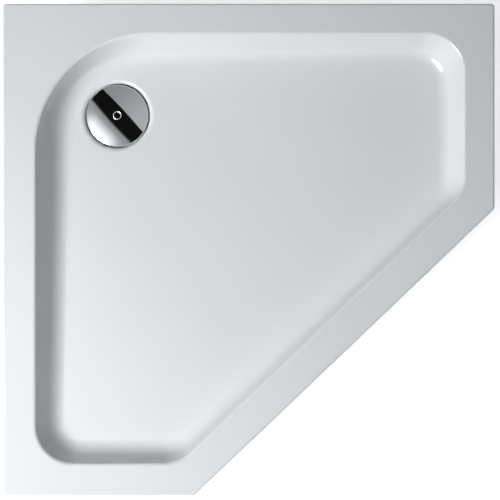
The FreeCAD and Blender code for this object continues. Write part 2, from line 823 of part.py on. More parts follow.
def hex_nut(label, x, y, z):
    """Hexagon nut with turned corners and a plain bore at the thread size."""
    body = start_body(label, x, y, z)
    flat = size("nut_width") / 2
    point = size("nut_width") / math.sqrt(3)
    high = size("nut_height")
    hexagon = start_sketch(body, label + "_hexagon", "XY_Plane")
    draw_outline(hexagon, [(point, 0), (point / 2, flat), (-(point / 2), flat),
                           (-point, 0), (-(point / 2), -flat), (point / 2, -flat)])
    add_feature(body, "Pad", label + "_block", hexagon, Length=high)
    doc.recompute()
    bore = start_sketch(body, label + "_bore_circle", "XY_Plane", high)
    draw_circle(bore, 0, 0, size("rod_diameter") + size("running_gap") * 2)
    pocket(body, label + "_bore", bore, high)
    beyond = point + PAST
    drop = (beyond - flat) * tangent(size("nut_corner_angle"))
    for name, face, turned_to in (("top", high, high - drop), ("low", as_size(0), drop)):
        corner = [(flat, face), (beyond, face), (beyond, turned_to)]
        turn_profile(body, "Groove", "%s_%s_corners" % (label, name), corner)
    return body


def foot_nuts(number, along, inward):
    x, y = plan_point(along, inward)
    under = crown_bottom(inward) - size("washer_thickness") - size("nut_height")
    return [hex_nut("foot_adjusting_nut_%d" % number, x, y, under),
            hex_nut("foot_lock_nut_%d" % number, x, y, crown_top(inward))]


# Waste: gaskets, flange, trap and outlet

hole_radius = size("waste_hole_diameter") / 2
lip_radius = size("flange_diameter") / 2
trap_radius = size("trap_diameter") / 2
cup_radius = trap_radius - size("trap_wall")
ledge_low = ledge_top - size("ledge_thickness")
trap_bottom = trap_top - size("trap_height")
tube_radius = size("tube_diameter") / 2
tube_end = trap_bottom + size("trap_wall") + size("tube_bottom_gap")
bore_radius = size("outlet_bore") / 2
outlet_height = ledge_low - size("trap_wall") * 2 - bore_radius


def waste_ring(label, inner, outer, low, thickness):
    high = low + thickness
    return turned_body(label, [(inner, low), (outer, low), (outer, high), (inner, high)], waste_x, waste_y)


def flange_gasket():
    return waste_ring("flange_gasket", hole_radius, lip_radius, recess_floor, size("upper_gasket"))


def trap_gasket():
    outer = size("trap_flange_diameter") / 2
    return waste_ring("trap_gasket", hole_radius, outer, trap_top, size("lower_gasket"))


def waste_flange():
    """Dished steel flange: its lip clamps the tray, its plate is screwed to the trap."""
    dish = size("flange_dish_diameter") / 2
    metal = size("flange_sheet")
    opening = size("tube_flange_diameter") / 2 + size("hole_gap")
    body = turned_body("waste_flange", [
        (opening, ledge_top), (dish, ledge_top), (dish, lip_top - metal), (lip_radius, lip_top - metal),
        (lip_radius, lip_top), (dish - metal, lip_top), (dish - metal, ledge_top + metal),
        (opening, ledge_top + metal),
    ], waste_x, waste_y)
    hole = start_sketch(body, "flange_screw_hole", "XY_Plane", ledge_top + metal)
    draw_circle(hole, size("flange_screw_circle") / 2, 0, size("flange_screw_diameter") + size("hole_gap"))
    drilled = pocket(body, "flange_hole", hole, metal)
    repeat_round(body, "flange_holes", [drilled], FLANGE_SCREWS)
    return body


def flange_screws():
    screws = []
    under_head = ledge_top + size("flange_sheet")
    circle = size("flange_screw_circle") / 2
    for number in range(FLANGE_SCREWS):
        angle = 2 * math.pi * number / FLANGE_SCREWS
        x = waste_x + circle * round(math.cos(angle), 6)
        y = waste_y + circle * round(math.sin(angle), 6)
        screws.append(screw("flange_screw_%d" % (number + 1), size("flange_screw_head"),
                            size("flange_screw_head_height"), size("flange_screw_diameter"),
                            size("flange_screw_length"), x, y, under_head, False))
    return group("flange_screws", screws)


def trap_body():
    """Trap cup with an inner ledge, screw bosses, and an outlet behind a weir."""
    wall = size("trap_wall")
    rim = size("trap_flange_diameter") / 2
    under_rim = trap_top - size("trap_flange_thickness")
    body = start_body("trap_body", waste_x, waste_y)
    turn_profile(body, "Revolution", "trap_block", [
        (0, trap_bottom), (trap_radius, trap_bottom), (trap_radius, under_rim), (rim, under_rim),
        (rim, trap_top), (0, trap_top),
    ])
    spigot = start_sketch(body, "outlet_circle", "YZ_Plane")
    draw_circle(spigot, 0, outlet_height, size("outlet_spigot_diameter"))
    pad_down(body, "outlet_spigot", spigot, size("outlet_spigot_reach"))
    ledge_bore = tube_radius + size("seal_gap")
    turn_profile(body, "Groove", "trap_inside", [
        (0, trap_bottom + wall), (cup_radius, trap_bottom + wall), (cup_radius, ledge_low),
        (ledge_bore, ledge_low), (ledge_bore, ledge_top), (cup_radius, ledge_top),
        (cup_radius, trap_top), (0, trap_top),
    ])
    boss = start_sketch(body, "boss_circle", "XY_Plane", ledge_low)
    draw_circle(boss, size("flange_screw_circle") / 2, 0, size("boss_diameter"))
    repeat_round(body, "bosses", [pad_down(body, "boss", boss, size("boss_drop"))], FLANGE_SCREWS)
    thread = start_sketch(body, "boss_thread_circle", "XY_Plane", ledge_top)
    thread_width = size("flange_screw_diameter") + size("running_gap") * 2
    draw_circle(thread, size("flange_screw_circle") / 2, 0, thread_width)
    thread_depth = size("flange_screw_length") - size("flange_sheet") + PAST
    repeat_round(body, "boss_threads", [pocket(body, "boss_thread", thread, thread_depth)], FLANGE_SCREWS)
    open_outlet(body)
    return body


def open_outlet(body):
    """Bore and socket from the end of the outlet, and the window over the weir."""
    end = -size("outlet_spigot_reach")
    behind_weir = trap_radius + PAST
    bore = start_sketch(body, "outlet_bore_circle", "YZ_Plane", end)
    draw_circle(bore, 0, outlet_height, size("outlet_bore"))
    pocket(body, "outlet_bore", bore, size("outlet_spigot_reach") - behind_weir, upward=True)
    socket = start_sketch(body, "outlet_socket_circle", "YZ_Plane", end)
    draw_circle(socket, 0, outlet_height, size("outlet_pipe_diameter") + size("hole_gap"))
    pocket(body, "outlet_socket", socket, size("outlet_socket_depth"), upward=True)
    weir = tube_end + size("water_seal")
    crown = outlet_height + bore_radius - size("trap_wall")
    half = size("weir_width") / 2
    window = start_sketch(body, "weir_window_outline", "YZ_Plane", -behind_weir)
    draw_outline(window, [(-half, weir), (half, weir), (half, crown), (-half, crown)])
    pocket(body, "weir_window", window, size("trap_wall") * 3, upward=True)


def outlet_body(label, corners):
    """Turned piece on the outlet axis; its heights are distances from the waste axis."""
    body = turned_body(label, corners, waste_x, waste_y, outlet_height)
    turn_body(body, FreeCAD.Vector(0, 1, 0), as_size(-90))
    return body


pipe_radius = size("outlet_pipe_diameter") / 2
spigot_end = size("outlet_spigot_reach")
seal_end = spigot_end + size("outlet_seal_length")
nut_end = seal_end + size("outlet_nut_face")
thread_radius = size("outlet_spigot_diameter") / 2 + size("running_gap")


def outlet_seal():
    inner = pipe_radius + size("running_gap")
    return outlet_body("outlet_seal", [
        (inner, spigot_end), (thread_radius - size("hole_gap"), spigot_end),
        (thread_radius - size("hole_gap"), seal_end), (inner, seal_end),
    ])


def outlet_nut():
    """Slip nut with grip ribs."""
    start = spigot_end - size("outlet_nut_grip")
    outer = size("outlet_nut_diameter") / 2
    opening = pipe_radius + size("hole_gap") / 2
    body = outlet_body("outlet_nut", [
        (thread_radius, start), (outer, start), (outer, nut_end), (opening, nut_end), (opening, seal_end),
        (thread_radius, seal_end),
    ])
    root = outer - PAST
    tip = outer + size("grip_rib_height")
    half = size("grip_rib_width") / 2
    rib = start_sketch(body, "grip_rib_outline", "XY_Plane", nut_end)
    draw_outline(rib, [(root, -half), (tip, -half), (tip, half), (root, half)])
    repeat_round(body, "grip_ribs", [pad_down(body, "grip_rib", rib, nut_end - start)], GRIP_RIBS)
    return body


def outlet_pipe():
    start = spigot_end - size("outlet_socket_depth")
    bead = nut_end + size("outlet_bead_gap")
    bead_end = bead + size("outlet_bead_width")
    bead_radius = pipe_radius + size("outlet_bead_height")
    end = bead_end + size("outlet_free_length")
    inner = pipe_radius - size("outlet_pipe_wall")
    return outlet_body("outlet_pipe", [
        (inner, start), (pipe_radius, start), (pipe_radius, bead), (bead_radius, bead),
        (bead_radius, bead_end), (pipe_radius, bead_end), (pipe_radius, end), (inner, end),
    ])


# Lift-out dip tube and waste cover

def dip_tube():
    inner = tube_radius - size("tube_wall")
    collar = size("tube_flange_diameter") / 2
    top = ledge_top + size("tube_flange_thickness")
    body = turned_body("dip_tube", [
        (inner, tube_end), (tube_radius, tube_end), (tube_radius, ledge_top), (collar, ledge_top),
        (collar, top), (inner, top),
    ], waste_x, waste_y)
    reach = tube_radius - size("tube_wall") / 2
    half = size("tube_bar_width") / 2
    for name, across, along in (("first_bar", reach, half), ("second_bar", half, reach)):
        bar = start_sketch(body, name + "_outline", "XY_Plane", top)
        draw_outline(bar, [(-across, -along), (across, -along), (across, along), (-across, along)])
        pad_down(body, name, bar, size("tube_bar_width"))
    return body


def dip_tube_seal():
    """Round seal between the dip tube and the ledge of the trap."""
    body = start_body("dip_tube_seal", waste_x, waste_y)
    section = start_sketch(body, "seal_section", "XZ_Plane")
    draw_circle(section, tube_radius + size("seal_gap") / 2, ledge_top - size("ledge_thickness") / 2,
                size("seal_gap") - size("running_gap") * 2)
    turned = add_feature(body, "Revolution", "seal_ring", section)
    turned.ReferenceAxis = (section, ["V_Axis"])
    turned.Angle = 360
    doc.recompute()
    return body


cover_low = lip_top + size("cover_lift")
cover_radius = size("cover_diameter") / 2
cover_rise = size("cover_rise")
dome_radius = (cover_radius * cover_radius + cover_rise * cover_rise) / (cover_rise * 2)
dome_top = cover_low + size("cover_sheet") + cover_rise


def waste_cover():
    """Domed cover with a lifting hole and three ribs that stand on the flange lip."""
    body = start_body("waste_cover", waste_x, waste_y)
    turn_profile(body, "Revolution", "cover_dome", [
        (0, cover_low + cover_rise), (cover_radius, cover_low),
        (cover_radius, cover_low + size("cover_sheet")), (0, dome_top),
    ], {0: -dome_radius, 2: dome_radius})
    edge_height = cover_low + size("cover_sheet")
    rim_edges = edges_where(body.Tip.Shape, lambda edge: lies_at(edge, edge_height))
    round_edges(body, "cover_edge", rim_edges, size("cover_edge_radius"))
    hole = start_sketch(body, "eyelet_hole_circle", "XY_Plane", dome_top)
    draw_circle(hole, 0, 0, size("eyelet_tube"))
    pocket(body, "eyelet_hole", hole, size("cover_sheet") * 2)
    add_cover_ribs(body)
    return body


def dome_middle(radius):
    """Height half way through the cover sheet at a distance from its centre."""
    sag = radius * radius / (dome_radius * 2)
    return cover_low + cover_rise + size("cover_sheet") / 2 - sag


def add_cover_ribs(body):
    foot_tip = lip_radius - size("cover_rib_width")
    guide = size("flange_dish_diameter") / 2 - size("flange_sheet") - size("hole_gap")
    inner = guide - size("cover_lift")
    low = lip_top - size("cover_lift")
    rib = start_sketch(body, "cover_rib_outline", "XZ_Plane")
    draw_outline(rib, [
        (inner, low), (guide, low), (guide, lip_top), (foot_tip, lip_top),
        (foot_tip, dome_middle(foot_tip)), (inner, dome_middle(inner)),
    ])
    one_rib = pad_centred(body, "cover_rib", rib, size("cover_rib_width"))
    repeat_round(body, "cover_ribs", [one_rib], COVER_RIBS)


def cover_eyelet():
    bore = size("eyelet_bore") / 2
    tube = size("eyelet_tube") / 2
    lip = size("eyelet_lip") / 2
    high = dome_top + size("eyelet_lip_height")
    low = dome_top - size("eyelet_length")
    body = turned_body("cover_eyelet", [
        (bore, low), (tube, low), (tube, dome_top), (lip, dome_top), (lip, high), (bore, high),
    ], waste_x, waste_y)

    def at_the_lip(edge):
        return lies_at(edge, high) and edge.Curve.Radius > tube.value

    def at_the_mouth(edge):
        return lies_at(edge, high) and edge.Curve.Radius < tube.value

    round_edges(body, "eyelet_lip_round", edges_where(body.Tip.Shape, at_the_lip), size("eyelet_edge_radius"))
    round_edges(body, "eyelet_mouth", edges_where(body.Tip.Shape, at_the_mouth), size("eyelet_mouth_radius"))
    return body


# The whole tray

PIECES = [tray_shell(), base_board()]
for name, inward, spacing in RAILS:
    feet = [along for along, foot_inward in FEET if foot_inward is inward]
    PIECES.append(rail(name, inward, spacing, feet))
    PIECES += [foam_strip(name, number, inward, spacing) for number in (1, 2)]
PIECES += [rail_screws(), foot_washers()]
for number, (along, inward) in enumerate(FEET, start=1):
    PIECES += [foot_rod(number, along, inward), foot_pad(number, along, inward)]
    PIECES += foot_nuts(number, along, inward)
PIECES += [flange_gasket(), trap_gasket(), waste_flange(), flange_screws(), trap_body()]
PIECES += [outlet_seal(), outlet_nut(), outlet_pipe()]
PIECES += [dip_tube(), dip_tube_seal(), waste_cover(), cover_eyelet()]

# Checks and files

doc.recompute()
for thing in doc.Objects:
    if "Invalid" in thing.State or "Error" in thing.State:
        raise RuntimeError("%s is %s" % (thing.Label, thing.State))
for piece in PIECES:
    if piece.Shape.isNull() or not piece.Shape.isValid():
        raise RuntimeError("%s has no valid shape" % piece.Label)
    piece.Shape.exportStep("parts/%s.step" % piece.Label)
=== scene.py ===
import json
import math

import bmesh
import bpy
from mathutils import Matrix, Vector


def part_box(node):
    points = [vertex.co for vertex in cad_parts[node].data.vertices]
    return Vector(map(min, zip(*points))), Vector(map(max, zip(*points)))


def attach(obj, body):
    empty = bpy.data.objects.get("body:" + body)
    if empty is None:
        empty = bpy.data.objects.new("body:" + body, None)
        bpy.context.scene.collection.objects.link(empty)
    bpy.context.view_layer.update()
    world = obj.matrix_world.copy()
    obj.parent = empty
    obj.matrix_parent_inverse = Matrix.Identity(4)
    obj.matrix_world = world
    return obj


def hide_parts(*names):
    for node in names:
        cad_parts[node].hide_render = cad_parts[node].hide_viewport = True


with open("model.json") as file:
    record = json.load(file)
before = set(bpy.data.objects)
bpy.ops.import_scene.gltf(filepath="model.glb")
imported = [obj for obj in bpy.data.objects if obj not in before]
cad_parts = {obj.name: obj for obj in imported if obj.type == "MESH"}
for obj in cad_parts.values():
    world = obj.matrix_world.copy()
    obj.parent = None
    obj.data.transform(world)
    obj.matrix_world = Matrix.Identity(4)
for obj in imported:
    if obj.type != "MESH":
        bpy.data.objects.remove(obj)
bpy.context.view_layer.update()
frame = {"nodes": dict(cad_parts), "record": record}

MM = 0.001
scene = bpy.context.scene
scene.view_settings.view_transform = "Standard"


# Node graph helpers

class Graph:
    """Short calls for building one material's or the world's node graph."""

    def __init__(self, tree, output="OutputMaterial"):
        self.tree = tree
        tree.nodes.clear()
        self.output = self.add(output)

    def add(self, kind, settings=None, **inputs):
        node = self.tree.nodes.new("ShaderNode" + kind)
        for name, value in (settings or {}).items():
            setattr(node, name, value)
        for name, value in inputs.items():
            self.put(node, name.replace("_", " "), value)
        return node

    def put(self, node, name, value):
        """Set an input by name or number, or link it to an output socket."""
        socket = node.inputs[name]
        if isinstance(value, bpy.types.NodeSocket):
            self.tree.links.new(value, socket)
        else:
            socket.default_value = value

    def math(self, operation, first, second=0.0):
        node = self.add("Math", {"operation": operation})
        self.put(node, 0, first)
        self.put(node, 1, second)
        return node.outputs[0]

    def spread(self, value, low, high, to_low=0.0, to_high=1.0):
        """Map a value smoothly from one range to another."""
        node = self.add("MapRange", {"interpolation_type": "SMOOTHSTEP"})
        for name, amount in zip(("Value", "From Min", "From Max", "To Min", "To Max"),
                                (value, low, high, to_low, to_high)):
            self.put(node, name, amount)
        return node.outputs[0]

    def mix(self, share, first, second):
        """Blend of two plain numbers."""
        node = self.add("Mix", {"data_type": "FLOAT"})
        self.put(node, 0, share)
        self.put(node, 2, first)
        self.put(node, 3, second)
        return node.outputs[0]

    def blend(self, share, first, second):
        """Blend of two colours."""
        node = self.add("Mix", {"data_type": "RGBA"})
        self.put(node, 0, share)
        self.put(node, 6, first)
        self.put(node, 7, second)
        return node.outputs[2]

    def place(self, scale=(1.0, 1.0, 1.0), turn=0.0):
        """Object coordinates in metres, stretched and turned about the upright axis."""
        coordinates = self.add("TexCoord").outputs["Object"]
        mapping = self.add("Mapping", Vector=coordinates, Scale=scale, Rotation=(0.0, 0.0, turn))
        return mapping.outputs[0]

    def noise(self, place, scale, detail=3.0, roughness=0.5):
        node = self.add("TexNoise", Vector=place, Scale=scale, Detail=detail, Roughness=roughness)
        return node.outputs[0]

    def cells(self, place, scale):
        return self.add("TexVoronoi", Vector=place, Scale=scale)

    def bump(self, height, distance):
        return self.add("Bump", Height=height, Distance=distance).outputs[0]


def grey(level, tint=(1.0, 1.0, 1.0)):
    return tuple(level * part for part in tint) + (1.0,)


def new_material(name):
    material = bpy.data.materials.new(name)
    material.use_nodes = True
    return material, Graph(material.node_tree)


def finish_surface(graph, **inputs):
    """Principled surface with the given inputs, joined to the output."""
    shader = graph.add("BsdfPrincipled")
    for name, value in inputs.items():
        graph.put(shader, name.replace("_", " "), value)
    graph.put(graph.output, "Surface", shader.outputs[0])
    return shader


# Materials, one function each

ACRYLIC_TINT = (0.975, 1.0, 1.01)
ACRYLIC_INDEX = 1.49
PIPE_TINT = (0.96, 1.0, 1.05)
CHROME_TINT = (0.985, 1.0, 1.0)


def acrylic():
    """Gloss white acrylic, with the rough glass-fibre backing on every face that looks down."""
    material, graph = new_material("acrylic")
    place = graph.place()
    facing = graph.add("NewGeometry").outputs["Normal"]
    upward = graph.add("SeparateXYZ", Vector=facing).outputs["Z"]
    backing = graph.spread(upward, -0.12, -0.3)
    cloud = graph.noise(place, 6.0, 2.0)
    white = graph.blend(cloud, grey(0.80, ACRYLIC_TINT), grey(0.83, ACRYLIC_TINT))
    strands = graph.noise(graph.place((1.0, 6.0, 1.0), 0.6), 90.0, 5.0, 0.7)
    crossing = graph.noise(graph.place((6.0, 1.0, 1.0), 0.2), 90.0, 5.0, 0.7)
    fibre = graph.math("MAXIMUM", strands, crossing)
    resin = graph.blend(graph.spread(fibre, 0.45, 0.75), (0.50, 0.49, 0.43, 1.0), (0.72, 0.71, 0.66, 1.0))
    colour = graph.blend(backing, white, resin)
    smooth = graph.spread(graph.noise(place, 35.0), 0.3, 0.7, 0.07, 0.10)
    coarse = graph.spread(fibre, 0.4, 0.8, 0.45, 0.75)
    ripple = graph.math("MULTIPLY", graph.noise(place, 70.0, 2.0), 0.02)
    relief = graph.mix(backing, ripple, fibre)
    finish_surface(graph, Base_Color=colour, Roughness=graph.mix(backing, smooth, coarse), IOR=ACRYLIC_INDEX,
                   Normal=graph.bump(relief, 0.6 * MM))
    return material


def chipboard():
    """Raw chipboard: flat wood flakes in tan tones, open at the cut edges."""
    material, graph = new_material("chipboard")
    place = graph.place((1.0, 1.0, 3.0))
    warp = graph.add("VectorMath", {"operation": "ADD"})
    graph.put(warp, 0, place)
    graph.put(warp, 1, graph.add("TexNoise", Vector=place, Scale=60.0).outputs["Color"])
    flakes = graph.cells(place, 170.0)
    chips = graph.cells(graph.place((0.35, 1.0, 3.0), 0.8), 330.0)
    tone = graph.add("SeparateColor", Color=flakes.outputs["Color"]).outputs[0]
    fine = graph.add("SeparateColor", Color=chips.outputs["Color"]).outputs[1]
    mixed = graph.mix(0.45, tone, fine)
    warm = graph.blend(mixed, (0.27, 0.155, 0.07, 1.0), (0.60, 0.42, 0.235, 1.0))
    dust = graph.noise(warp.outputs[0], 240.0, 4.0, 0.65)
    colour = graph.blend(graph.spread(dust, 0.45, 0.8), warm, (0.68, 0.52, 0.33, 1.0))
    height = graph.math("ADD", mixed, graph.math("MULTIPLY", dust, 0.8))
    finish_surface(graph, Base_Color=colour, Roughness=graph.spread(dust, 0.3, 0.7, 0.72, 0.92),
                   Normal=graph.bump(height, 0.35 * MM))
    return material


def galvanised():
    """Galvanised sheet with its crystal spangle."""
    material, graph = new_material("galvanised")
    place = graph.place()
    spangle = graph.cells(place, 75.0)
    parts = graph.add("SeparateColor", Color=spangle.outputs["Color"])
    haze = graph.noise(place, 160.0, 4.0, 0.6)
    level = graph.mix(0.3, parts.outputs[0], haze)
    colour = graph.blend(level, (0.40, 0.42, 0.44, 1.0), (0.66, 0.68, 0.70, 1.0))
    roughness = graph.spread(parts.outputs[1], 0.0, 1.0, 0.28, 0.52)
    finish_surface(graph, Base_Color=colour, Metallic=1.0, Roughness=roughness,
                   Normal=graph.bump(graph.math("ADD", level, haze), 0.05 * MM))
    return material


def zinc_steel():
    """Bright zinc plate with a faint blue passivation and handling marks."""
    material, graph = new_material("zinc_steel")
    place = graph.place()
    marks = graph.noise(place, 420.0, 5.0, 0.65)
    tint = graph.noise(place, 45.0, 2.0)
    colour = graph.blend(tint, (0.60, 0.61, 0.63, 1.0), (0.69, 0.68, 0.66, 1.0))
    roughness = graph.spread(marks, 0.3, 0.75, 0.2, 0.42)
    finish_surface(graph, Base_Color=colour, Metallic=1.0, Roughness=roughness,
                   Normal=graph.bump(marks, 0.02 * MM))
    return material


def foam():
    """Closed-cell foam: dark, matt, with small open cells on its cut sides, each cell painted darker towards
    its middle as painted shade in the hollow.
    """
    material, graph = new_material("foam")
    place = graph.place()
    bubbles = graph.cells(place, 900.0)
    cell_depth = graph.spread(bubbles.outputs["Distance"], 0.1, 0.6)
    # Painted shade: each open cell's colour goes darker where the cell is deepest, the same depth that drives
    # the bump.
    colour = graph.blend(cell_depth, grey(0.012), grey(0.032))
    roughness = graph.spread(cell_depth, 0.0, 1.0, 0.8, 0.95)
    finish_surface(graph, Base_Color=colour, Roughness=roughness, Normal=graph.bump(cell_depth, 0.3 * MM))
    return material


def gasket():
    """Black rubber with a talc bloom."""
    material, graph = new_material("gasket")
    place = graph.place()
    bloom = graph.spread(graph.noise(place, 130.0, 5.0, 0.6), 0.45, 0.8)
    colour = graph.blend(bloom, grey(0.012), grey(0.035))
    roughness = graph.spread(bloom, 0.0, 1.0, 0.5, 0.75)
    finish_surface(graph, Base_Color=colour, Roughness=roughness,
                   Normal=graph.bump(graph.noise(place, 1500.0), 0.03 * MM))
    return material


def stainless():
    """Stainless steel, brushed in one direction."""
    material, graph = new_material("stainless")
    lines = graph.noise(graph.place((1.0, 40.0, 40.0), 0.5), 45.0, 4.0, 0.6)
    colour = graph.blend(lines, (0.50, 0.50, 0.49, 1.0), (0.66, 0.655, 0.64, 1.0))
    roughness = graph.spread(lines, 0.3, 0.7, 0.22, 0.4)
    finish_surface(graph, Base_Color=colour, Metallic=1.0, Roughness=roughness,
                   Normal=graph.bump(lines, 0.02 * MM))
    return material


def moulded_plastic(name, dark, light, rough):
    """Moulded plastic with a fine spark-eroded grain and slight flow clouding."""
    material, graph = new_material(name)
    place = graph.place()
    clouding = graph.noise(place, 24.0, 3.0)
    grain = graph.noise(place, 1600.0, 2.0)
    colour = graph.blend(graph.spread(clouding, 0.3, 0.7), dark, light)
    roughness = graph.spread(graph.noise(place, 90.0), 0.3, 0.7, rough - 0.06, rough + 0.06)
    finish_surface(graph, Base_Color=colour, Roughness=roughness,
                   Normal=graph.bump(grain, 0.03 * MM))
    return material


def trap_plastic():
    return moulded_plastic("trap_plastic", grey(0.52), grey(0.58, (1.0, 1.0, 0.985)), 0.42)


def dark_plastic():
    return moulded_plastic("dark_plastic", grey(0.018), grey(0.026), 0.46)


def pipe_plastic():
    return moulded_plastic("pipe_plastic", grey(0.13, PIPE_TINT), grey(0.16, PIPE_TINT), 0.4)


def tube_plastic():
    return moulded_plastic("tube_plastic", grey(0.011), grey(0.016), 0.5)


def chrome():
    """Polished chrome with the faintest wiping marks."""
    material, graph = new_material("chrome")
    place = graph.place()
    film = graph.noise(place, 38.0, 4.0, 0.6)
    wipes = graph.noise(graph.place((1.0, 14.0, 1.0), 0.7), 120.0, 3.0)
    colour = graph.blend(film, grey(0.83, CHROME_TINT), grey(0.87, CHROME_TINT))
    roughness = graph.spread(graph.math("MULTIPLY", film, wipes), 0.15, 0.45, 0.02, 0.05)
    finish_surface(graph, Base_Color=colour, Metallic=1.0, Roughness=roughness)
    return material


MATERIALS = {
    make.__name__: make()
    for make in (acrylic, chipboard, galvanised, zinc_steel, foam, gasket, stainless, trap_plastic,
                 dark_plastic, pipe_plastic, tube_plastic, chrome)
}
SLOT_OF = {part["node"]: part["material_slot"] for part in frame["record"]["subparts"]}

for node_name, slot_name in SLOT_OF.items():
    for holder in frame["nodes"][node_name].material_slots:
        holder.material = MATERIALS[slot_name]


# Pieces whose finer form is modelled here and stands for a plainer solid

MERGE = 1e-6
THREAD_TURN = 24
THREAD_CREST_END = 0.125
THREAD_ROOT_START = 0.44
THREAD_ROOT_END = 0.69
ROD_PITCH = 1.5 * MM
ROD_ROOT = 0.92 * MM
SCREW_PITCH = 1.6 * MM
SCREW_ROOT = 0.7 * MM
SCREW_TIP_RADIUS = 0.1 * MM
RAIL_SCREW_POINT = 7 * MM
HEAD_FROM = 0.9
SHANK_TO = 0.7
HEAD_EDGE_SHARE = 0.45
HEAD_ARC_STEPS = 8
HEAD_TURN_STEPS = 32
RECESS_REACH = 1.15
RECESS_WIDTH = 1.1 * MM
RECESS_DEPTH = 1.5 * MM
FOAM_BULGE = 0.7 * MM
FOAM_STATIONS = 90
FOAM_LEVELS = 6
FOAM_UNEVEN = 0.3
FOAM_FINE_WAVE = 151.0
FOAM_LONG_WAVE = 67.0


def new_piece(name, form, body, slot_name, *nodes):
    """Object from a bmesh that rides on a body and stands for CAD nodes."""
    mesh = bpy.data.meshes.new(name)
    form.to_mesh(mesh)
    form.free()
    mesh.materials.append(MATERIALS[slot_name])
    piece = bpy.data.objects.new(name, mesh)
    scene.collection.objects.link(piece)
    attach(piece, body)
    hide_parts(*nodes)
    return piece


def threaded_bar(radius, root, pitch, low, high, point=0.0):
    """Bar along Z with a right-hand thread, its ends turned down to the root over a short chamfer.

    A point greater than zero lets the lower end taper to a tip over that length.
    """
    form = bmesh.new()
    core = radius - root
    profile = ((0.0, radius), (THREAD_CREST_END, radius), (THREAD_ROOT_START, core), (THREAD_ROOT_END, core),
               (1.0, radius))
    steps = int((high - low) / pitch + 2) * THREAD_TURN
    rows = []
    for step in range(steps):
        angle = 2 * math.pi * step / THREAD_TURN
        row = []
        for share, reach in profile:
            height = low + pitch * (step / THREAD_TURN + share - 1)
            held = min(max(height, low), high)
            limit = core + min(held - low, high - held)
            if point:
                limit = min(limit, radius * (held - low) / point + SCREW_TIP_RADIUS)
            reach = min(reach, limit)
            row.append(form.verts.new((reach * math.cos(angle), reach * math.sin(angle), held)))
        rows.append(row)
    for here, there in zip(rows, rows[1:]):
        for column in range(len(profile) - 1):
            form.faces.new((here[column], there[column], there[column + 1], here[column + 1]))
    bmesh.ops.remove_doubles(form, verts=form.verts, dist=MERGE)
    bmesh.ops.dissolve_degenerate(form, edges=form.edges, dist=MERGE / 10)
    bmesh.ops.holes_fill(form, edges=form.edges, sides=0)
    bmesh.ops.recalc_face_normals(form, faces=form.faces)
    return form


def middle(low, high):
    return (Vector(low) + Vector(high)) / 2


def add_rods():
    """Cut threads on the rods of the five feet."""
    for node_name in sorted(name for name in frame["nodes"] if name.startswith("foot_rod_")):
        low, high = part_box(node_name)
        radius = (high.x - low.x) / 2
        form = threaded_bar(radius, ROD_ROOT, ROD_PITCH, low.z, high.z)
        centre = middle(low, high)
        bmesh.ops.translate(form, verts=form.verts, vec=(centre.x, centre.y, 0.0))
        new_piece("threaded_" + node_name, form, node_name.replace("_rod", ""), "zinc_steel", node_name)


def islands(node_name):
    """Vertex places of each separate solid in a node."""
    form = bmesh.new()
    form.from_mesh(frame["nodes"][node_name].data)
    form.transform(frame["nodes"][node_name].matrix_world)
    bmesh.ops.remove_doubles(form, verts=form.verts, dist=MERGE)
    left = set(form.verts)
    groups = []
    while left:
        waiting = [left.pop()]
        places = []
        while waiting:
            vert = waiting.pop()
            places.append(vert.co.copy())
            near = {edge.other_vert(vert) for edge in vert.link_edges} & left
            left -= near
            waiting += near
        groups.append(places)
    form.free()
    return groups


def pan_head(radius, height):
    """Domed screw head above the XY plane, with a cross recess."""
    head = bmesh.new()
    turns = [math.pi / 2 * step / HEAD_ARC_STEPS for step in range(HEAD_ARC_STEPS + 1)]
    dome = [(radius * math.cos(turn), height * (HEAD_EDGE_SHARE + (1 - HEAD_EDGE_SHARE) * math.sin(turn)))
            for turn in turns]
    outline = [(0.0, 0.0), (radius, 0.0)] + dome
    verts = [head.verts.new((reach, 0.0, rise)) for reach, rise in outline]
    edges = [head.edges.new(pair) for pair in zip(verts, verts[1:])]
    bmesh.ops.spin(head, geom=verts + edges, cent=(0, 0, 0), axis=(0, 0, 1), angle=2 * math.pi,
                   steps=HEAD_TURN_STEPS)
    bmesh.ops.remove_doubles(head, verts=head.verts, dist=MERGE)
    bmesh.ops.recalc_face_normals(head, faces=head.faces)
    cross = bmesh.new()
    reach = radius * RECESS_REACH
    for length, width in ((reach, RECESS_WIDTH), (RECESS_WIDTH, reach)):
        block = bmesh.ops.create_cube(cross, size=1.0)["verts"]
        scale = Matrix.Diagonal((length, width, RECESS_DEPTH * 2, 1.0))
        bmesh.ops.transform(cross, verts=block, matrix=Matrix.Translation((0, 0, height)) @ scale)
    return cut_away(head, cross)


def cut_away(form, tool):
    """The first form less the second; both are used up."""
    objects = []
    for name, shape in (("cut_form", form), ("cut_tool", tool)):
        mesh = bpy.data.meshes.new(name)
        shape.to_mesh(mesh)
        shape.free()
        made = bpy.data.objects.new(name, mesh)
        scene.collection.objects.link(made)
        objects.append(made)
    cutter = objects[0].modifiers.new("cut", "BOOLEAN")
    cutter.object = objects[1]
    cutter.solver = "EXACT"
    cutter.use_self = True
    result = bmesh.new()
    result.from_object(objects[0], bpy.context.evaluated_depsgraph_get())
    for made in objects:
        mesh = made.data
        bpy.data.objects.remove(made)
        bpy.data.meshes.remove(mesh)
    return result


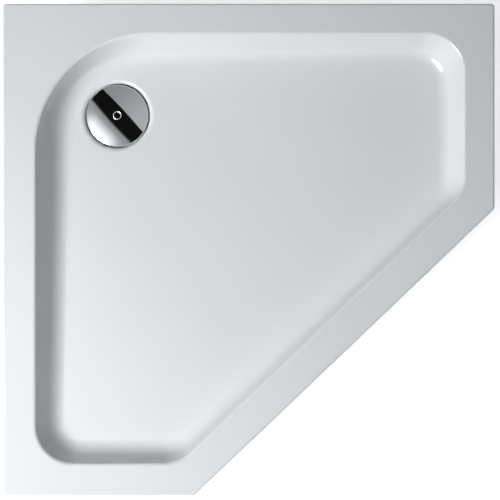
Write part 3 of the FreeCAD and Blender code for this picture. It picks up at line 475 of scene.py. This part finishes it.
def add_screws(node_name, slot_name, upward, point):
    """Pan-head screws with a thread and a cross recess, one at each solid of the node.

    Points of the solid near its full radius belong to the head, those well inside it to the shank.
    """
    together = bmesh.new()
    for places in islands(node_name):
        low = Vector(min(place[axis] for place in places) for axis in range(3))
        high = Vector(max(place[axis] for place in places) for axis in range(3))
        centre = middle(low, high)
        head_radius = (high.x - low.x) / 2
        spread = [((place - centre).xy.length, place.z) for place in places]
        head_levels = [rise for reach, rise in spread if reach > head_radius * HEAD_FROM]
        shank_radius = max(reach for reach, rise in spread if reach < head_radius * SHANK_TO)
        head_height = max(head_levels) - min(head_levels)
        length = high.z - low.z - head_height
        under_head = max(head_levels) if upward else min(head_levels)
        turn = Matrix.Rotation(math.pi, 4, "X") if upward else Matrix.Identity(4)
        place = Matrix.Translation((centre.x, centre.y, under_head)) @ turn
        for part in (pan_head(head_radius, head_height),
                     threaded_bar(shank_radius, SCREW_ROOT, SCREW_PITCH, -length, 0.0, point)):
            part.transform(place)
            mesh = bpy.data.meshes.new("screw_part")
            part.to_mesh(mesh)
            part.free()
            together.from_mesh(mesh)
            bpy.data.meshes.remove(mesh)
    new_piece("cross_" + node_name, together, "tray", slot_name, node_name)


def strip_corners(node_name):
    """The four plan corners of a foam strip, each as its low and its high point."""
    matrix = frame["nodes"][node_name].matrix_world
    places = [matrix @ vert.co for vert in frame["nodes"][node_name].data.vertices]
    corners = []
    for test in (lambda p: p.x, lambda p: p.y, lambda p: -p.x, lambda p: -p.y):
        plan = min(places, key=test).xy
        heights = [place.z for place in places if (place.xy - plan).length < 0.1 * MM]
        corners.append([Vector((plan.x, plan.y, level)) for level in (min(heights), max(heights))])
    return corners


def add_foam_strips():
    """Foam strips pressed between rail and board, their cut sides swelling out at half height."""
    for node_name in sorted(name for name in frame["nodes"] if name.startswith("foam_strip_")):
        left, front, right, back = strip_corners(node_name)
        form = bmesh.new()
        rows = [foam_row(form, left, front, back, right, station / FOAM_STATIONS)
                for station in range(FOAM_STATIONS + 1)]
        count = len(rows[0])
        for here, there in zip(rows, rows[1:]):
            for spot in range(count):
                after = (spot + 1) % count
                form.faces.new((here[spot], here[after], there[after], there[spot]))
        form.faces.new(rows[0])
        form.faces.new(list(reversed(rows[-1])))
        bmesh.ops.recalc_face_normals(form, faces=form.faces)
        piece = new_piece("soft_" + node_name, form, "tray", "foam", node_name)


def foam_row(form, left, front, back, right, share):
    """One cross-section of a strip: flat below and above, rounded at both sides, a little uneven along it."""
    sides = [[start.lerp(end, share) for start, end in zip(*pair)] for pair in ((left, back), (front, right))]
    width = (sides[1][0] - sides[0][0]).length
    wave = 0.5 + 0.25 * math.sin(share * FOAM_FINE_WAVE) + 0.25 * math.sin(share * FOAM_LONG_WAVE + 1.0)
    verts = []
    rising = range(FOAM_LEVELS + 1)
    for side, other, levels in ((sides[0], sides[1], rising), (sides[1], sides[0], reversed(rising))):
        for level in levels:
            rise = level / FOAM_LEVELS
            pull = FOAM_BULGE * (1 - math.sin(math.pi * rise) + FOAM_UNEVEN * wave)
            spot = side[0].lerp(side[1], rise)
            across = other[0].lerp(other[1], rise)
            verts.append(form.verts.new(spot.lerp(across, pull / width)))
    return verts


add_rods()
add_screws("rail_screws", "zinc_steel", upward=True, point=RAIL_SCREW_POINT)
add_screws("flange_screws", "stainless", upward=False, point=0.0)
add_foam_strips()


# Camera, straight above the tray as in the photograph

RIM_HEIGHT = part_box("tray_shell")[1].z
CAMERA_RISE = 2.4
FRAME_WIDTH = 0.9134
SENSOR_WIDTH = 36.0
CAMERA_OFFSET = (0.00265, -0.0004)


def add_camera():
    lens = bpy.data.cameras.new("camera")
    lens.sensor_width = SENSOR_WIDTH
    lens.lens = SENSOR_WIDTH * CAMERA_RISE / FRAME_WIDTH
    camera = bpy.data.objects.new("camera", lens)
    camera.location = (CAMERA_OFFSET[0], CAMERA_OFFSET[1], RIM_HEIGHT + CAMERA_RISE)
    scene.collection.objects.link(camera)
    scene.camera = camera


# Studio, in metres and watts: floor, key light, surroundings and the panel that the chrome mirrors

KEY_PLACE = Vector((-1.74, -1.10, 2.31))
KEY_AIM = Vector((-0.28, -0.02, 0.15))
KEY_SIZE = 1.7
KEY_SPREAD = math.radians(130)
KEY_POWER = 50.5
SURROUND = 0.087
SURROUND_TINT = (0.87, 1.0, 1.10, 1.0)
WHITE = (1.0, 1.0, 1.0, 1.0)
FLOOR_SIZE = 12.0
FLOOR_GLOW = 0.75
PANEL_SIZE = 7.0
PANEL_HEIGHT = 3.0
BAND_TURN = math.radians(-42.5)
BAND_MIDDLE = 0.76
BAND_CURVE = 0.02
BAND_GREY_SIDE = 0.265
BAND_WHITE_SIDE = 0.385
BAND_LEVEL = 0.006
GREY_LEVELS = (0.30, 0.48)
WHITE_START = 0.33
WHITE_PEAKS = (1.25, 0.6)
PANEL_TINT = (0.95, 0.98, 1.0, 1.0)


def seen_directly(graph):
    """One for camera, mirror and glass rays, nothing for diffuse light."""
    path = graph.add("LightPath")
    shown = graph.math("MAXIMUM", path.outputs["Is Camera Ray"], path.outputs["Is Glossy Ray"])
    return graph.math("MAXIMUM", shown, path.outputs["Is Transmission Ray"])


def add_world():
    world = bpy.data.worlds.new("surroundings")
    scene.world = world
    world.use_nodes = True
    graph = Graph(world.node_tree, "OutputWorld")
    shown = seen_directly(graph)
    tone = graph.blend(shown, SURROUND_TINT, WHITE)
    strength = graph.spread(shown, 0.0, 1.0, SURROUND, 1.0)
    background = graph.add("Background", Color=tone, Strength=strength)
    graph.put(graph.output, "Surface", background.outputs[0])


def add_key_light():
    lamp = bpy.data.lights.new("key", "AREA")
    lamp.shape = "DISK"
    lamp.size = KEY_SIZE
    lamp.spread = KEY_SPREAD
    lamp.energy = KEY_POWER
    light = bpy.data.objects.new("key", lamp)
    light.location = KEY_PLACE
    light.rotation_euler = (KEY_AIM - KEY_PLACE).to_track_quat("-Z", "Y").to_euler()
    scene.collection.objects.link(light)


def flat_square(name, size, height, material):
    mesh = bpy.data.meshes.new(name)
    half = size / 2
    mesh.from_pydata([(-half, -half, 0), (half, -half, 0), (half, half, 0), (-half, half, 0)], [],
                     [(0, 1, 2, 3)])
    mesh.materials.append(material)
    square = bpy.data.objects.new(name, mesh)
    square.location.z = height
    scene.collection.objects.link(square)
    return square


def floor_material():
    """Pale floor that shows near white, keeps the shadow, and lets a view from below through."""
    material, graph = new_material("studio_floor")
    speckle = graph.noise(graph.place(), 3.0, 2.0)
    tone = graph.blend(speckle, grey(0.80), grey(0.82))
    shader = finish_surface(graph, Base_Color=tone, Roughness=0.9)
    graph.put(shader, "Emission Color", WHITE)
    graph.put(shader, "Emission Strength", graph.math("MULTIPLY", seen_directly(graph), FLOOR_GLOW))
    below = graph.add("NewGeometry").outputs["Backfacing"]
    one_sided = graph.add("MixShader", Fac=below)
    graph.put(one_sided, 1, shader.outputs[0])
    graph.put(one_sided, 2, graph.add("BsdfTransparent").outputs[0])
    graph.put(graph.output, "Surface", one_sided.outputs[0])
    return material


def panel_material():
    """Overhead panel: grey on one side, fading to white on the other, with a dark band between.

    The band swells and the white is strongest at the middle of what the cover mirrors.
    """
    material, graph = new_material("overhead_panel")
    place = graph.add("SeparateXYZ", Vector=graph.place(turn=BAND_TURN))
    across = place.outputs["X"]
    along = graph.math("SUBTRACT", place.outputs["Y"], BAND_MIDDLE)
    from_middle = graph.math("MULTIPLY", along, along)
    swell = graph.math("MULTIPLY", from_middle, BAND_CURVE)
    grey_edge = graph.math("SUBTRACT", across, graph.math("SUBTRACT", BAND_GREY_SIDE, swell))
    white_edge = graph.math("SUBTRACT", across, graph.math("SUBTRACT", swell, BAND_WHITE_SIDE))
    grey_level = graph.spread(along, 1.0, -1.0, *GREY_LEVELS)
    white_peak = graph.spread(from_middle, 0.05, 0.8, *WHITE_PEAKS)
    white_level = graph.spread(white_edge, -0.05, -0.62, WHITE_START, white_peak)
    grey_part = graph.math("MULTIPLY", grey_level, graph.spread(grey_edge, 0.0, 0.02))
    white_part = graph.math("MULTIPLY", white_level, graph.spread(white_edge, 0.08, -0.05))
    level = graph.math("ADD", graph.math("ADD", grey_part, white_part), BAND_LEVEL)
    glow = graph.add("Emission", Color=PANEL_TINT, Strength=level)
    graph.put(graph.output, "Surface", glow.outputs[0])
    return material


def add_stage():
    flat_square("studio_floor", FLOOR_SIZE, 0.0, floor_material())
    panel = flat_square("overhead_panel", PANEL_SIZE, PANEL_HEIGHT, panel_material())
    panel.visible_camera = False
    panel.visible_diffuse = False
    panel.visible_shadow = False
    panel.visible_transmission = False


add_camera()
add_world()
add_key_light()
add_stage()
